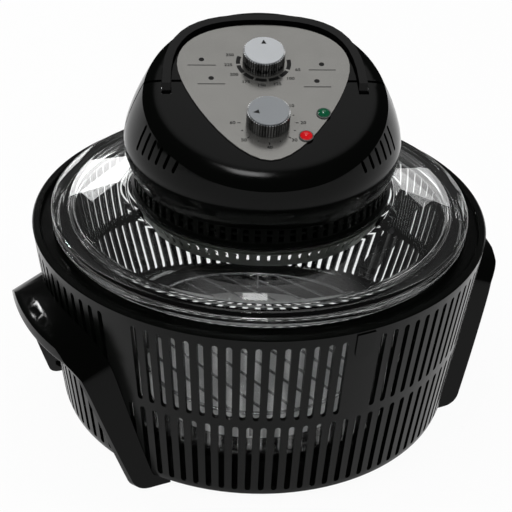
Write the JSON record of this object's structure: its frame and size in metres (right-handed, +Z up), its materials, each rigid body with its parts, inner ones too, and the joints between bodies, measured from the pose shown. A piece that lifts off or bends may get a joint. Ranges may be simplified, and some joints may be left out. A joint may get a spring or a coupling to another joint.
{
  "type": "halogen oven",
  "caption": "Round countertop halogen oven: glass bowl in a slotted black stand with side handles, glass lid carrying a domed heater and fan head.",
  "frame": {"origin": "on the bowl axis, at the height of the table the feet stand on", "axes": "+Z up along the bowl axis, -Y towards the front, where the control face slopes down, +X to the right seen from the front"},
  "size_m": [0.4012, 0.365, 0.3137],
  "materials": {
    "gloss_black": "glossy moulded black",
    "black_rubber": "matt moulded rubber",
    "gasket_rubber": "matt silicone rubber",
    "clear_glass": "clear pressed glass",
    "bright_wire": "bright plated wire",
    "zinc_steel": "zinc plated",
    "guard_steel": "satin pressed sheet",
    "silver_face": "brushed silver, printed marks",
    "silver_handle": "satin silver paint",
    "green_lamp": "translucent green lens",
    "red_lamp": "translucent red lens",
    "grey_bezel": "grey moulding",
    "cream_plastic": "plain moulding",
    "control_body": "plain moulding",
    "switch_body": "plain moulding",
    "motor_steel": "drawn steel can",
    "ceramic": "fired ceramic",
    "quartz": "frosted quartz",
    "shaft_steel": "turned steel",
    "fan_aluminium": "plain sheet",
    "dial_chrome": "bright fluted",
    "dial_top": "flat silver disc"
  },
  "bodies": {
    "base": {"stand_basket": "gloss_black", "handle_left": "gloss_black", "handle_right": "gloss_black", "handle_screws": "zinc_steel", "foot_pads": "black_rubber"},
    "bowl": {"glass_bowl": "clear_glass"},
    "rack": {"wire_rack": "bright_wire"},
    "lid": {"glass_lid": "clear_glass", "upper_gasket": "gasket_rubber", "lower_gasket": "gasket_rubber", "vent_skirt": "gloss_black", "front_housing": "gloss_black", "rear_housing": "gloss_black", "base_screws": "zinc_steel", "faceplate": "silver_face", "green_lens": "green_lamp", "red_lens": "red_lamp", "lamp_bezels": "grey_bezel", "lamp_bodies": "cream_plastic", "thermostat": "control_body", "timer": "control_body", "control_screws": "zinc_steel", "motor": "motor_steel", "motor_bracket": "zinc_steel", "terminal_block": "cream_plastic", "thermal_cutout": "zinc_steel", "cord_inlet": "black_rubber", "safety_switch": "switch_body", "guard_ring": "guard_steel", "fan_guard": "bright_wire", "reflector": "guard_steel", "guard_screws": "zinc_steel", "heater_tube": "quartz", "heater_ends": "ceramic", "heater_clips": "zinc_steel"},
    "fan": {"fan_shaft": "shaft_steel", "cooling_fan": "fan_aluminium", "hot_air_fan": "fan_aluminium", "fan_nut": "zinc_steel"},
    "temperature_control": {"temperature_dial": "dial_chrome", "temperature_cap": "dial_top", "temperature_spindle": "shaft_steel"},
    "timer_control": {"timer_dial": "dial_chrome", "timer_cap": "dial_top", "timer_spindle": "shaft_steel"},
    "handle": {"carrying_handle": "silver_handle", "handle_pins": "zinc_steel"},
    "plunger": {"switch_plunger": "cream_plastic"}
  },
  "joints": [
    {"name": "bowl_lift", "type": "slide", "parent": "base", "child": "bowl", "axis": [0, 0, 1], "range_m": [0, 0.2]},
    {"name": "rack_lift", "type": "slide", "parent": "bowl", "child": "rack", "axis": [0, 0, 1], "range_m": [0, 0.12]},
    {"name": "lid_lift", "type": "slide", "parent": "bowl", "child": "lid", "axis": [0, 0, 1], "range_m": [0, 0.2]},
    {"name": "fan_spin", "type": "hinge", "parent": "lid", "child": "fan", "pos_m": [0, 0, 0.21], "axis": [0, 0, 1], "continuous": true},
    {"name": "temperature_turn", "type": "hinge", "parent": "lid", "child": "temperature_control", "pos_m": [0, 0.01617, 0.29325], "axis": [0, -0.309, 0.9511], "range_deg": [-294, 0]},
    {"name": "timer_turn", "type": "hinge", "parent": "lid", "child": "timer_control", "pos_m": [0, -0.0466, 0.27286], "axis": [0, -0.309, 0.9511], "range_deg": [-300, 0]},
    {"name": "handle_fold", "type": "hinge", "parent": "lid", "child": "handle", "pos_m": [0, -0.00745, 0.2818], "axis": [1, 0, 0], "range_deg": [0, 80]},
    {"name": "plunger_rise", "type": "slide", "parent": "lid", "child": "plunger", "axis": [0, -0.309, 0.9511], "range_m": [0, 0.003]}
  ],
  "couplings": [
    {"joint": "plunger_rise", "follows": "handle_fold", "m_per_rad": 0.002148}
  ]
}
